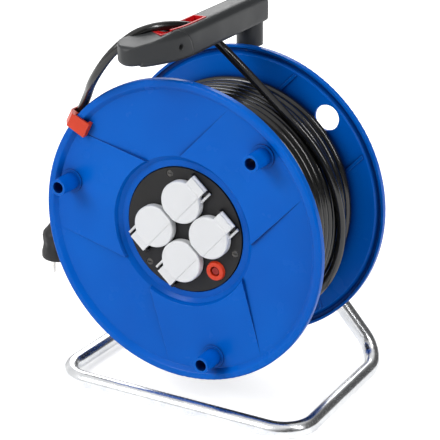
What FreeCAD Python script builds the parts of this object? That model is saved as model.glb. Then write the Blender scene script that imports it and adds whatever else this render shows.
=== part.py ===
import FreeCAD, Part
import math
import os
import re
import Sketcher
from FreeCAD import Rotation, Vector

# Free-standing extension cord reel: a drum of two plastic halves turns on an axle
# that a bent tube frame carries, with four lidded sockets in its front face.
# Everything is drawn about the axle: X to the right, Y from front to back, Z up,
# with zero at the middle of the drum. The last step sets the whole reel on its floor.

SIZES = {
    # drum
    "flange_radius": 145, "half_width": 68, "rim_width": 8, "rim_depth": 7, "rim_wall": 2.5,
    "rim_round": 2.2, "web_wall": 3, "web_dish": 3, "barrel_radius": 72,
    "barrel_wall": 3, "band_half_width": 51, "band_angle": 46.2, "spigot_length": 4,
    "spigot_depth": 8, "spigot_wall": 2.2, "fit_gap": 0.1, "clear_gap": 0.3,
    # pegs and holes of the flanges
    "peg_tip_radius": 7.75, "peg_base_radius": 8.6, "peg_bore": 5.5,
    "peg_collar_radius": 11, "peg_collar": 1.5, "hole_radius": 12.5,
    # bearing and axle
    "axle_radius": 8, "running_gap": 0.05, "bush_wall": 3.95, "hub_wall": 4, "hub_front": 20,
    "disc_front": 24, "disc_wall": 3, "rib_wall": 2.5, "rib_angle": 16.2,
    "axle_flange_radius": 17, "axle_flange": 3, "axle_tail_radius": 6, "washer_radius": 13,
    "washer_wall": 1.5, "circlip_wall": 1.4, "circlip_groove": 0.8, "circlip_reach": 2.5,
    "axle_end": 2.5,
    # frame tube
    "tube_radius": 8, "tube_wall": 1.5, "rail_height": -168.4, "rail_front": -79,
    "rail_half_front": 131, "rail_half_rear": 127, "rail_rear": 105.8, "front_bend": 30,
    "rear_bend": 26.4, "hub_bend": 60, "post_x": -9.5, "hub_height": -11.9, "post_top": 172,
    "leg_end_gap": 2.9,
    # hub plates
    "plate_wall": 3, "hub_plate_half": 40, "hub_plate_top": 30, "hub_plate_low": -36,
    "clamp_lip": 24, "bolt_radius": 3, "bolt_head_radius": 5.6, "bolt_head": 4, "nut_wall": 5,
    "bolt_high": 20, "bolt_low": -5, "bolt_left": -27, "bolt_right": 12, "bolt_low_half": 31,
    # handle
    "grip_width": 26, "grip_low": 162, "grip_top": 190, "grip_edge": 8, "grip_edge_low": 3.5,
    "grip_turn_start": -38, "grip_turn_radius": 90, "grip_turn": 35,
    "grip_nose": 19, "nose_top": 181, "nose_low": 163.5, "nose_edge": 5, "socket_radius": 12.8, "socket_low": 141,
    "seam_radius": 36, "seam_y": -80, "seam_z": 160, "seam_gap": 0.2, "arm_hole_y": -62,
    "arm_hole_z": 174.5, "tongue_left": -18, "tongue_right": -9, "tongue_low": 168,
    "tongue_high": 182, "tongue_front": -77, "arm_screw_radius": 1.6, "arm_screw_head": 2.4,
    "arm_screw_seat": -4.4, "arm_screw_tip": -25, "slot_half": 6.7, "slot_rear": -12,
    "slot_turn": 24, "slot_low": 183.6, "grip_crown_y": -58, "grip_crown": 0.6, "chin_y": -88,
    "nose_round": 11.5, "insert_wall": 1.6, "insert_crown": 0.4, "post_screw_radius": 2,
    "post_screw_head": 3.8, "post_screw_z": 153,
    # cord
    "cord_radius": 4.25, "winding_radius": 110.6, "winding_step": 4.55,
    "lead_radius": 119.8, "lead_start_y": 15, "passage_gap": 1.0, "core_gap": 0.45,
    "start_stop": 9, "lead_stub": 9, "wide_least": 6.5, "edge_step": 5, "last_step": 5.4,
    "clip_before": 20, "clip_after": 24, "drop_top": 33,
    # socket plate
    "plate_opening": 61, "socket_plate_radius": 60, "plate_sink": 3, "plate_thick": 4,
    "ledge_radius": 56.5, "socket_pitch": 29, "recess_radius": 19.3, "recess_depth": 17.5,
    "insert_radius": 20.4, "insert_floor": 3, "plate_screw_pitch": 54.5, "plate_screw_angle": 106,
    "plate_screw_radius": 1.6, "plate_screw_head": 3.3, "plate_boss": 5,
    "drum_screw_radius": 1.8, "drum_screw_head": 3.4, "drum_boss": 4.4,
    "pin_hole_radius": 2.7, "pin_spacing": 9.5, "sleeve_bore": 2.45, "sleeve_wall": 1,
    "live_depth": 24, "neutral_depth": 20, "bar_wall": 1, "bar_half": 2.5, "earth_half": 3,
    "earth_wall": 1,
    # lids
    "lid_angle": 48, "lid_half_width": 19.3, "lid_radius": 20.25,
    "lid_wall": 1.6, "lid_top": 2.6, "lid_gap": 0.4, "lid_edge": 1.4, "hinge_reach": 26,
    "knuckle_radius": 2.8, "knuckle_half": 9, "hinge_pin_radius": 1.1,
    "hinge_pin_gap": 0.15, "ear_gap": 0.4, "hinge_ear": 2, "tab_half": 1.1,
    # thermal reset
    "reset_pitch": 47.3, "reset_angle": 315, "collar_radius": 9.5,
    "collar_neck": 7.4, "collar_bore": 4.85, "button_radius": 3.5,
    "cutout_half": 9, "cutout_long": 24.2, "button_travel": 2,
    # inner end of the cord
    "tail_angle": 226.2, "tail_y": 15, "block_depth": 12, "block_long": 17,
    "block_width": 18, "tail_clamp_wall": 7, "tail_clamp_half": 9,
    # cord clip on the front rim
    "clip_angle": 141.3, "clip_wall": 2.2, "clip_skin": 1.5,
    "clip_slope": 0.2, "clip_bevel": 6.7, "clip_high": -4.6, "clip_high_inner": -12,
    "clip_low": 9.5,
    "clip_low_inner": 4, "clip_rear_high": -4, "clip_rear_low": 5,
    # plug on the end of the cord
    "plug_x": -158.5, "plug_y": -29.5, "lead_end": -3, "relief_top_radius": 5.6,
    "relief_radius": 8, "relief_length": 27, "plug_radius": 18.5, "plug_length": 38,
    "plug_neck": 12, "plug_pin_radius": 2.4, "plug_pin_length": 19,
}

# Sizes that follow from the driving ones.
DERIVED = {
    "rim_inner": "flange_radius-rim_width",
    "web_ring": "half_width-rim_depth",
    "web_rim": "web_ring+web_dish",
    "peg_reach": "half_width+20",
    "rib_reach": "web_ring-web_wall",
    "barrel_inner": "barrel_radius-barrel_wall",
    "funnel_radius": "barrel_radius-5",
    "plate_front": "web_ring-plate_sink",
    "plate_rear": "plate_front-plate_thick",
    "plate_boss_end": "plate_rear-10",
    "bush_radius": "axle_radius+running_gap+bush_wall",
    "hub_radius": "bush_radius+hub_wall",
    "hub_rear": "half_width-clear_gap",
    "hub_plate_front": "half_width+axle_flange",
    "hub_plate_rear": "hub_plate_front+plate_wall",
    "tube_plane": "hub_plate_rear+tube_radius",
    "clamp_front": "tube_plane+tube_radius",
    "grip_half": "grip_width/2",
    "grip_rear": "tube_plane+socket_radius-0.3",
    "recess_floor": "plate_front-recess_depth",
    "insert_rear": "recess_floor-insert_floor",
    "knuckle_depth": "plate_front+lid_gap+knuckle_radius",
    "lid_front": "plate_front+8",
    "block_front": "lid_front-1",
    "collar_front": "plate_front+3",
    "button_front": "collar_front-1.4",
    "cutout_front": "plate_front-7.8",
    "cutout_rear": "cutout_front-cutout_long",
    "tail_end": "barrel_inner-23",
    "tail_clamp_outer": "barrel_inner-5",
    "tail_clamp_inner": "tail_clamp_outer-tail_clamp_wall",
    "drum_screw_pitch": "barrel_inner-drum_boss-0.2",
    "peg_pitch": "flange_radius-23",
    "hole_pitch": "flange_radius-23.5",
    "clip_front": "half_width+clip_wall",
    "clip_taper": "half_width-2",
    "clip_rear": "half_width-16.9",
    "clip_cord_y": "-(half_width-12.4)",
    "clip_inner": "flange_radius-18",
    "clip_hook": "flange_radius-4",
    "clip_cord_radius": "flange_radius+1.6",
    "clip_face": "flange_radius+2.2",
    "clip_outer": "flange_radius+6.2",
    "clip_reach": "clip_outer+clip_skin",
    "core_radius": "winding_radius-cord_radius-core_gap",
    "winding_edge": "web_ring-6",
    "plug_top": "lead_end-relief_length",
}

doc = FreeCAD.newDocument("cord_reel")
sheet = doc.addObject("Spreadsheet::Sheet", "sizes")
for row, (alias, value) in enumerate(SIZES.items(), start=1):
    sheet.set(f"A{row}", alias.replace("_", " "))
    sheet.set(f"B{row}", str(value))
    sheet.setAlias(f"B{row}", alias)
doc.recompute()


def ref(text):
    """An expression in which every size is read from the sheet."""
    def word(match):
        name = match[0]
        if name in DERIVED:
            return "(" + ref(DERIVED[name]) + ")"
        return "sizes." + name if name in SIZES else name
    return re.sub(r"[a-z][a-z_]+", word, str(text))


def num(text):
    """The present value of an expression."""
    return float(sheet.evalExpression(ref(text)))


def put(obj, x="0", y="0", z="0", axis="0;0;1", angle="0"):
    """Place an object at a point, turned about an axis, both tied to the sheet."""
    place = f"placement(vector({x};{y};{z});rotation(vector({axis});{angle}))"
    obj.setExpression("Placement", ref(place))
    return obj


def box(name, x, y, z):
    """A box between pairs of coordinates."""
    obj = doc.addObject("Part::Box", name)
    obj.setExpression("Length", ref(f"({x[1]})-({x[0]})"))
    obj.setExpression("Width", ref(f"({y[1]})-({y[0]})"))
    obj.setExpression("Height", ref(f"({z[1]})-({z[0]})"))
    return put(obj, x[0], y[0], z[0])


def rod(name, radius, start, end, x="0", z="0"):
    """A cylinder along Y."""
    obj = doc.addObject("Part::Cylinder", name)
    obj.setExpression("Radius", ref(radius))
    obj.setExpression("Height", ref(f"({end})-({start})"))
    return put(obj, x, start, z, "1;0;0", "-90")


def rod_up(name, radius, start, end, x="0", y="0"):
    """A cylinder along Z."""
    obj = doc.addObject("Part::Cylinder", name)
    obj.setExpression("Radius", ref(radius))
    obj.setExpression("Height", ref(f"({end})-({start})"))
    return put(obj, x, y, start)


def rod_across(name, radius, start, end, y="0", z="0"):
    """A cylinder along X."""
    obj = doc.addObject("Part::Cylinder", name)
    obj.setExpression("Radius", ref(radius))
    obj.setExpression("Height", ref(f"({end})-({start})"))
    return put(obj, start, y, z, "0;1;0", "90")


def cone(name, first, last, start, end, x="0", z="0"):
    """A cone along Y."""
    obj = doc.addObject("Part::Cone", name)
    obj.setExpression("Radius1", ref(first))
    obj.setExpression("Radius2", ref(last))
    obj.setExpression("Height", ref(f"({end})-({start})"))
    return put(obj, x, start, z, "1;0;0", "-90")


def cone_up(name, first, last, start, end, x="0", y="0"):
    """A cone along Z."""
    obj = doc.addObject("Part::Cone", name)
    obj.setExpression("Radius1", ref(first))
    obj.setExpression("Radius2", ref(last))
    obj.setExpression("Height", ref(f"({end})-({start})"))
    return put(obj, x, y, start)


def fuse(name, parts):
    if len(parts) == 1:
        return parts[0]
    obj = doc.addObject("Part::MultiFuse", name)
    obj.Shapes = parts
    return obj


def cut(name, base, tools):
    obj = doc.addObject("Part::Cut", name)
    obj.Base = base
    obj.Tool = fuse(name + "_tools", tools)
    return obj


def common(name, first, second):
    obj = doc.addObject("Part::Common", name)
    obj.Base = first
    obj.Tool = second
    return obj


def pieces(name, parts):
    """Separate solids of one kind kept together."""
    obj = doc.addObject("Part::Compound", name)
    obj.Links = parts
    return obj


def turned(obj, angle):
    """Turn an object about the axle, from X towards Z."""
    return put(obj, "0", "0", "0", "0;-1;0", angle)


def polar(pitch, angle):
    """The x and z of a point at a radius and an angle about the axle."""
    return f"({pitch})*cos({angle})", f"({pitch})*sin({angle})"


def revolved(name, points):
    """A solid of revolution about the axle from (radius, y) corners tied to the sheet."""
    body = doc.addObject("PartDesign::Body", name)
    sketch = body.newObject("Sketcher::SketchObject", name + "_profile")
    plane = [f for f in body.Origin.OriginFeatures if f.Role == "XY_Plane"][0]
    sketch.AttachmentSupport = [(plane, "")]
    sketch.MapMode = "FlatFace"
    places = [Vector(num(radius), num(y), 0) for radius, y in points]
    for index, place in enumerate(places):
        following = places[(index + 1) % len(places)]
        sketch.addGeometry(Part.LineSegment(place, following))
    for index in range(len(points)):
        following = (index + 1) % len(points)
        sketch.addConstraint(Sketcher.Constraint("Coincident", index, 2, following, 1))
    for index, (radius, y) in enumerate(points):
        for kind, size, text in (("DistanceX", places[index].x, radius),
                                 ("DistanceY", places[index].y, y)):
            number = sketch.addConstraint(Sketcher.Constraint(kind, -1, 1, index, 1, size))
            label = f"{kind}_{index}"
            sketch.renameConstraint(number, label)
            sketch.setExpression("Constraints." + label, ref(text))
    revolution = body.newObject("PartDesign::Revolution", name + "_turned")
    revolution.Profile = sketch
    revolution.ReferenceAxis = (sketch, ["V_Axis"])
    revolution.Angle = 360
    sketch.Visibility = False
    doc.recompute()
    return body


def rounded_rims(body, rims, radius):
    """Round circular edges, each found by its radius and height, in a revolved body."""
    base = body.Tip
    names = []
    for number, edge in enumerate(base.Shape.Edges, start=1):
        curve = edge.Curve
        for ring, y in rims:
            if hasattr(curve, "Radius") and abs(curve.Radius - num(ring)) < 1e-4:
                if abs(curve.Center.y - num(y)) < 1e-4:
                    names.append(f"Edge{number}")
    fillet = body.newObject("PartDesign::Fillet", body.Name + "_round")
    fillet.Base = (base, names)
    fillet.setExpression("Radius", ref(radius))
    doc.recompute()
    return body


def rounded(name, base, radius, picked):
    """Round the edges of a solid that a test picks."""
    doc.recompute()
    size = num(radius)
    edges = [n for n, edge in enumerate(base.Shape.Edges, start=1) if picked(edge)]
    obj = doc.addObject("Part::Fillet", name)
    obj.Base = base
    obj.Edges = [(n, size, size) for n in edges]
    doc.recompute()
    return obj


def along_y(edge):
    ends = edge.Vertexes
    return len(ends) == 2 and (ends[0].Point - ends[1].Point).cross(Vector(0, 1, 0)).Length < 1e-6


def at_depth(y):
    """A test for edges that lie wholly at one y."""
    def picked(edge):
        bounds = edge.BoundBox
        return abs(bounds.YMin - y) < 1e-3 and abs(bounds.YMax - y) < 1e-3
    return picked


def held_shape(name, shape):
    """An object whose shape comes from a formula."""
    obj = doc.addObject("Part::Feature", name)
    obj.Shape = shape
    return obj


def bent_path(points, bends):
    """Straight runs joined by tangent arcs of the given radii."""
    edges = []
    start = points[0]
    for index in range(1, len(points) - 1):
        corner = points[index]
        before = (corner - points[index - 1]).normalize()
        after = (points[index + 1] - corner).normalize()
        turn = before.getAngle(after)
        radius = bends[index - 1]
        cut_back = radius * math.tan(turn / 2)
        first = corner - before * cut_back
        last = corner + after * cut_back
        middle_way = (after - before).normalize()
        centre = corner + middle_way * (radius / math.cos(turn / 2))
        middle = centre - middle_way * radius
        if (first - start).Length > 1e-6:
            edges.append(Part.LineSegment(start, first).toShape())
        edges.append(Part.Arc(first, middle, last).toShape())
        start = last
    edges.append(Part.LineSegment(start, points[-1]).toShape())
    return Part.Wire(edges)


def round_sweep(path, radius):
    """A round bar along a path."""
    start = path.Edges[0]
    place = start.valueAt(start.FirstParameter)
    heading = start.tangentAt(start.FirstParameter)
    ring = Part.Wire([Part.Circle(place, heading, radius).toShape()])
    return path.makePipeShell([ring], True, False)


def cord_bends(points):
    """The largest bend radii that a cord's runs leave room for."""
    bends = []
    for index in range(1, len(points) - 1):
        before = points[index] - points[index - 1]
        after = points[index + 1] - points[index]
        turn = before.getAngle(after)
        bends.append(0.45 * min(before.Length, after.Length) / math.tan(turn / 2))
    return bends


NODES = []


def node(obj, label):
    """Name a finished piece of the reel."""
    obj.Label = label
    NODES.append(obj)
    return obj


# Drum


def flange_profile():
    """The flange and the outside of the barrel, which both halves share."""
    return [
        ("barrel_radius", "0"),
        ("barrel_radius", "web_ring-web_wall"),
        ("rim_inner-1", "web_rim-web_wall"),
        ("rim_inner+2.5", "half_width-web_wall"),
        ("flange_radius-rim_wall", "half_width-web_wall"),
        ("flange_radius-rim_wall", "half_width-rim_depth"),
        ("flange_radius", "half_width-rim_depth"),
        ("flange_radius", "half_width"),
        ("rim_inner+1.5", "half_width"),
        ("rim_inner-2.5", "web_rim"),
        ("barrel_radius", "web_ring"),
    ]


def band_ring(name, low, high, inner, outer):
    """The ring that trims a raised band, with a flared bore."""
    disc = rod(name + "_disc", "rim_inner-2.5", low, high)
    bore = cone(name + "_bore", inner, outer, low, high)
    return cut(name, disc, [bore])


def bands(name, way, low, high, half, inner, outer):
    """Three flat bands across a flange, one along each peg's line."""
    made = []
    for index in range(3):
        label = f"{name}_{index + 1}"
        strip = box(label + "_strip", ("0", "rim_inner"), (low, high), (f"-({half})", half))
        ring = band_ring(label + "_ring", low, high, inner, outer)
        made.append(turned(common(label, strip, ring), f"{way}*(band_angle+{120 * index})"))
    return made


def half_drum(name, way, profile, extra, tools):
    """One half of the drum: revolved wall, raised bands and the hollows behind them."""
    wall = rounded_rims(revolved(name + "_wall", profile),
                        [("flange_radius", "half_width"), ("rim_inner+1.5", "half_width")],
                        "rim_round")
    raised = bands(name + "_band", way, "web_ring-web_wall/2", "web_rim", "band_half_width",
                   "barrel_radius-1.5", "barrel_radius+0.5")
    hollow = bands(name + "_hollow", way, "web_ring-web_wall-3", "web_rim-web_wall",
                   "band_half_width-web_wall", "barrel_radius+0.01", "barrel_radius+0.01")
    solid = fuse(name + "_solid", [wall] + raised + extra)
    return cut(name + "_made", solid, hollow + tools)


def front_half():
    profile = flange_profile() + [
        ("funnel_radius", "plate_front-1"),
        ("plate_opening", "plate_front-1"),
        ("plate_opening", "plate_rear"),
        ("ledge_radius", "plate_rear"),
        ("ledge_radius", "plate_rear-web_wall"),
        ("plate_opening+2", "plate_rear-web_wall"),
        ("barrel_inner", "plate_rear+1"),
        ("barrel_inner", "0"),
    ]
    extra = []
    tools = []
    for index in range(3):
        angle = f"band_angle+{120 * index}"
        x, z = polar("peg_pitch", f"-({angle})")
        extra.append(cone(f"peg_{index}", "peg_base_radius", "peg_tip_radius", "web_rim-1",
                          "peg_reach", x, z))
        extra.append(rod(f"peg_collar_{index}", "peg_collar_radius", "web_rim-1",
                         "web_rim+peg_collar", x, z))
        tools.append(rod(f"peg_bore_{index}", "peg_bore", "web_ring-web_wall-2", "peg_reach+1",
                         x, z))
        x, z = polar("plate_screw_pitch", f"-(plate_screw_angle+{120 * index})")
        extra.append(rod(f"plate_boss_{index}", "plate_boss", "plate_boss_end", "plate_rear", x, z))
        tools.append(rod(f"plate_pilot_{index}", "plate_screw_radius", "plate_boss_end+1",
                         "plate_rear+1", x, z))
        x, z = polar("drum_screw_pitch", f"-(band_angle+{120 * index})")
        extra.append(rod(f"drum_boss_{index}", "drum_boss", "-disc_front", "30", x, z))
        tools.append(rod(f"drum_pilot_{index}", "drum_screw_radius", "-disc_front-1", "10", x, z))
    spigot_body = rod("spigot_body", "barrel_inner+0.5", "0", "spigot_depth")
    spigot_nose = rod("spigot_nose", "barrel_inner-fit_gap", "-spigot_length", "spigot_depth")
    spigot = fuse("spigot_solid", [spigot_body, spigot_nose])
    bore = rod("spigot_bore", "barrel_inner-spigot_wall", "-spigot_length-1", "spigot_depth+1")
    extra.append(cut("spigot", spigot, [bore]))
    made = half_drum("front_half", -1, profile, extra, tools)
    # Drawn with its face towards +Y and turned about X, so that it faces the front.
    return put(made, "0", "0", "0", "1;0;0", "180")


def rear_half():
    profile = flange_profile() + [
        ("barrel_inner", "web_ring"),
        ("barrel_inner", "disc_front+disc_wall"),
        ("hub_radius", "disc_front+disc_wall"),
        ("hub_radius", "hub_rear"),
        ("bush_radius", "hub_rear"),
        ("bush_radius", "hub_front"),
        ("hub_radius", "hub_front"),
        ("hub_radius", "disc_front"),
        ("barrel_inner", "disc_front"),
        ("barrel_inner", "0"),
    ]
    extra = []
    tools = []
    for index in range(6):
        rib = box(f"rib_{index}", ("hub_radius-0.5", "barrel_inner+0.5"),
                  ("disc_front+1", "rib_reach"), ("-rib_wall/2", "rib_wall/2"))
        rib_block = pieces(f"rib_turned_{index}", [rib])
        extra.append(turned(rib_block, f"rib_angle+{60 * index}"))
    for index in range(3):
        x, z = polar("hole_pitch", f"band_angle+{120 * index}")
        tools.append(rod(f"flange_hole_{index}", "hole_radius", "web_ring-web_wall-2",
                         "web_rim+1", x, z))
        x, z = polar("drum_screw_pitch", f"band_angle+{120 * index}")
        tools.append(rod(f"screw_hole_{index}", "drum_screw_radius", "disc_front-1",
                         "disc_front+disc_wall+1", x, z))
    tools.append(tail_rod("tail_hole", "cord_radius+0.6", "barrel_inner-3", "barrel_radius+3"))
    return half_drum("rear_half", 1, profile, extra, tools)


def tail_rod(name, radius, start, end):
    """A rod along the line where the cord's inner end comes in through the barrel."""
    return turned(pieces(name + "_held", [rod_across(name, radius, start, end, "tail_y", "0")]),
                  "tail_angle")


def inner_tail():
    return tail_rod("tail", "cord_radius", "tail_end", "barrel_radius")


def terminal_block():
    block = box("terminal_box", ("tail_end-block_width", "tail_end"),
                ("disc_front-block_depth", "disc_front"), ("-block_long", "block_long"))
    return turned(pieces("terminal_held", [block]), "tail_angle")


def tail_clamp():
    block = box("tail_clamp_box", ("tail_clamp_inner", "tail_clamp_outer"),
                ("tail_y-cord_radius-2", "disc_front"), ("-tail_clamp_half", "tail_clamp_half"))
    block = turned(pieces("tail_clamp_held", [block]), "tail_angle")
    return cut("tail_clamp_made", block, [tail_rod("tail_clamp_bore", "cord_radius", "40", "80")])


def drum_screws():
    made = []
    for index in range(3):
        x, z = polar("drum_screw_pitch", f"band_angle+{120 * index}")
        shank = rod(f"drum_shank_{index}", "drum_screw_radius", "-9",
                    "disc_front+disc_wall+1", x, z)
        head = rod(f"drum_head_{index}", "drum_screw_head", "disc_front+disc_wall",
                   "disc_front+disc_wall+2.4", x, z)
        made.append(fuse(f"drum_screw_{index}", [shank, head]))
    return pieces("drum_screw_set", made)


def bearing_bush():
    outer = rod("bush_outer", "bush_radius", "hub_front", "hub_rear")
    bore = rod("bush_bore", "axle_radius+running_gap", "hub_front-1", "hub_rear+1")
    return cut("bush", outer, [bore])


# Frame


def frame_points():
    """Corners of the tube's centre line, from the top of the post to the right leg's end."""
    plane = num("tube_plane")
    hub_left = Vector(num("post_x"), plane, num("hub_height"))
    hub_right = Vector(-num("post_x"), plane, num("hub_height"))
    rail = num("rail_height")
    rear_left = Vector(-num("rail_half_rear"), num("rail_rear"), rail)
    rear_right = Vector(num("rail_half_rear"), num("rail_rear"), rail)
    front_left = Vector(-num("rail_half_front"), num("rail_front"), rail)
    front_right = Vector(num("rail_half_front"), num("rail_front"), rail)
    top = Vector(num("post_x"), plane, num("post_top"))
    down = (rear_right - hub_right).normalize()
    end = hub_right + down * num("leg_end_gap")
    return [top, hub_left, rear_left, front_left, front_right, rear_right, end]


def frame_bar(radius):
    """A round bar along the whole bent tube."""
    bends = [num(name) for name in
             ("hub_bend", "rear_bend", "front_bend", "front_bend", "rear_bend")]
    return round_sweep(bent_path(frame_points(), bends), num(radius))


def frame_tube():
    wall = frame_bar("tube_radius").cut(frame_bar("tube_radius-tube_wall"))
    held = held_shape("tube_wall_shape", wall)
    return cut("tube", held, [post_screw_hole("tube_post_hole")])


def bolt_places():
    return [("bolt_left", "bolt_high"), ("bolt_right", "bolt_high"),
            ("-bolt_low_half", "bolt_low"), ("bolt_low_half", "bolt_low")]


def bolt_holes(name, start, end):
    return [rod(f"{name}_{n}", "bolt_radius", start, end, x, z)
            for n, (x, z) in enumerate(bolt_places())]


def hub_plate():
    plate = box("hub_plate_box", ("-hub_plate_half", "hub_plate_half"),
                ("hub_plate_front", "hub_plate_rear"), ("hub_plate_low", "hub_plate_top"))
    plate = rounded("hub_plate_round", plate, "grip_edge", along_y)
    holes = bolt_holes("hub_plate_hole", "hub_plate_front-1", "hub_plate_rear+1")
    holes.append(rod("axle_hole", "axle_tail_radius", "hub_plate_front-1", "hub_plate_rear+1"))
    return cut("hub_plate_made", plate, holes)


def clamp_plate():
    upper = box("clamp_upper", ("-hub_plate_half", "hub_plate_half"),
                ("clamp_front", "clamp_front+plate_wall"), ("hub_height", "hub_plate_top"))
    lower = box("clamp_lower_box", ("-hub_plate_half", "hub_plate_half"),
                ("0", "plate_wall"), ("-clamp_lip", "0"))
    lower = pieces("clamp_lower", [lower])
    lean = "atan((rail_rear-tube_plane)/(hub_height-rail_height))"
    put(lower, "0", f"tube_plane+tube_radius/cos({lean})", "hub_height", "1;0;0", lean)
    holes = bolt_holes("clamp_hole", "clamp_front-1", "clamp_front+plate_wall+1")
    holes.append(held_shape("clamp_saddle", frame_bar("tube_radius")))
    return cut("clamp_plate_made", fuse("clamp_solid", [upper, lower]), holes)


def hexagon(name, radius, start, end, x, z):
    obj = doc.addObject("Part::Prism", name)
    obj.Polygon = 6
    obj.setExpression("Circumradius", ref(radius))
    obj.setExpression("Height", ref(f"({end})-({start})"))
    return put(obj, x, start, z, "1;0;0", "-90")


def clamp_bolts():
    made = []
    for n, (x, z) in enumerate(bolt_places()):
        shank = rod(f"bolt_shank_{n}", "bolt_radius", "hub_plate_front-nut_wall-2",
                    "clamp_front+plate_wall+1", x, z)
        head = hexagon(f"bolt_head_{n}", "bolt_head_radius", "clamp_front+plate_wall",
                       "clamp_front+plate_wall+bolt_head", x, z)
        made.append(fuse(f"bolt_{n}", [shank, head]))
    return pieces("bolt_set", made)


def clamp_nuts():
    made = []
    for n, (x, z) in enumerate(bolt_places()):
        nut = hexagon(f"nut_hex_{n}", "bolt_head_radius", "hub_plate_front-nut_wall",
                      "hub_plate_front", x, z)
        bore = rod(f"nut_bore_{n}", "bolt_radius", "hub_plate_front-nut_wall-1",
                   "hub_plate_front+1", x, z)
        made.append(cut(f"nut_{n}", nut, [bore]))
    return pieces("nut_set", made)


def washer_front():
    return "hub_front-clear_gap-washer_wall"


def axle_pin():
    """Stub axle with its riveted shoulder and tail, grooved for the circlip."""
    front = f"{washer_front()}-circlip_wall-axle_end"
    stub = rod("axle_stub", "axle_radius", front, "hub_plate_front-1")
    shoulder = rod("axle_shoulder", "axle_flange_radius", "half_width", "hub_plate_front")
    tail = rod("axle_tail", "axle_tail_radius", "hub_plate_front-1", "hub_plate_rear")
    solid = fuse("axle_solid", [stub, shoulder, tail])
    around = rod("groove_outer", "axle_radius+1", f"{washer_front()}-circlip_wall", washer_front())
    core = rod("groove_inner", "axle_radius-circlip_groove",
               f"{washer_front()}-circlip_wall-1", f"{washer_front()}+1")
    return cut("axle_made", solid, [cut("axle_groove", around, [core])])


def axle_washer():
    disc = rod("washer_disc", "washer_radius", washer_front(), f"{washer_front()}+washer_wall")
    bore = rod("washer_bore", "axle_radius+fit_gap", f"{washer_front()}-1",
               f"{washer_front()}+washer_wall+1")
    return cut("washer_made", disc, [bore])


def axle_circlip():
    disc = rod("circlip_disc", "axle_radius+circlip_reach",
               f"{washer_front()}-circlip_wall", washer_front())
    bore = rod("circlip_bore", "axle_radius-circlip_groove",
               f"{washer_front()}-circlip_wall-1", f"{washer_front()}+1")
    mouth = box("circlip_mouth", ("-2.5", "2.5"),
                (f"{washer_front()}-circlip_wall-1", f"{washer_front()}+1"), ("0", "14"))
    return cut("circlip_made", disc, [bore, mouth])


# Cord

UNDER_GRIP = Vector(-9.8, 28.5, 152.7)
OUT_OF_SLOT = Vector(-5.2, -35.1, 188.4)
ARCH_TOP = Vector(-29.6, -74.4, 191.2)
ARCH_LEFT = Vector(-52.9, -90.7, 171.5)
TOWARDS_CLIP = Vector(-77, -86.9, 139.6)
WIDE_STEPS = (7, 8)


def lead_points():
    """The lead's route: off the winding, through the handle, over to the clip and down."""
    through = UNDER_GRIP
    reach = math.hypot(through.x, through.z)
    angle = math.atan2(through.z, through.x) - math.acos(num("lead_radius") / reach)
    radius = num("lead_radius")
    leave = Vector(radius * math.cos(angle), num("lead_start_y"), radius * math.sin(angle))
    heading = (through - leave).normalize()
    turn = math.radians(num("clip_angle"))
    outward = Vector(math.cos(turn), 0, math.sin(turn))
    along = Vector(-math.sin(turn), 0, math.cos(turn)) - outward * num("clip_slope")
    clip = outward * num("clip_cord_radius") + Vector(0, num("clip_cord_y"), 0)
    return leave, heading, [
        leave + heading * num("lead_stub"),
        through,
        OUT_OF_SLOT,
        ARCH_TOP,
        ARCH_LEFT,
        TOWARDS_CLIP,
        clip - along * num("clip_before"),
        clip + along * num("clip_after"),
        Vector(num("plug_x"), num("plug_y"), num("drop_top")),
        Vector(num("plug_x"), num("plug_y"), num("lead_end")),
    ]


LEAD_LEAVE, LEAD_HEADING, LEAD_POINTS = lead_points()
LEAD_BENDS = cord_bends(LEAD_POINTS)
LEAD_PATH = bent_path(LEAD_POINTS, LEAD_BENDS)


def cord_lead():
    return held_shape("lead_shape", round_sweep(LEAD_PATH, num("cord_radius")))


def passage(name):
    """Room for the lead where it passes through the handle."""
    points = LEAD_POINTS[:6]
    path = bent_path(points, LEAD_BENDS[:4])
    return held_shape(name, round_sweep(path, num("cord_radius+passage_gap")))


def winding_stations():
    """Radius and y of the outer layer at every half turn, from its start to the lead."""
    edge = num("winding_edge")
    edge_steps = [num("edge_step"), num("last_step")]
    left = 2 * edge - sum(edge_steps) - len(WIDE_STEPS) * num("wide_least")
    even = int(left / num("winding_step"))
    steps = [num("winding_step")] * (even + len(WIDE_STEPS)) + edge_steps
    for index in WIDE_STEPS:
        steps[index] = 0
    wide = (2 * edge - sum(steps)) / len(WIDE_STEPS)
    for index in WIDE_STEPS:
        steps[index] = wide
    stations = [(num("winding_radius"), -edge)]
    for step in steps:
        radius, y = stations[-1]
        stations.append((radius, y + step))
    lead = num("lead_radius")
    start = num("lead_start_y")
    stations.append((lead, edge))
    stations.append((lead, start))
    return stations


def biarc(start, start_way, end, end_way):
    """Two arcs that leave one point and reach another along given headings."""
    span = end - start
    both = start_way + end_way
    a = both.dot(both) - 4
    b = -2 * span.dot(both)
    c = span.dot(span)
    reach = (-b - math.sqrt(b * b - 4 * a * c)) / (2 * a)
    if reach < 0:
        reach = (-b + math.sqrt(b * b - 4 * a * c)) / (2 * a)
    first = start + start_way * reach
    second = end - end_way * reach
    joint = (first + second) * 0.5
    return [arc_from(start, start_way, joint), arc_from(joint, (second - first).normalize(), end)]


def arc_from(start, way, end):
    """The arc that leaves a point along a heading and ends at another point."""
    chord = end - start
    side = chord - way * chord.dot(way)
    radius = chord.dot(chord) / (2 * side.Length)
    centre = start + side.normalize() * radius
    half = (start + end) * 0.5 - centre
    middle = centre + half.normalize() * radius
    if chord.dot(way) < 0:
        middle = centre - half.normalize() * radius
    return Part.Arc(start, middle, end)


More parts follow.
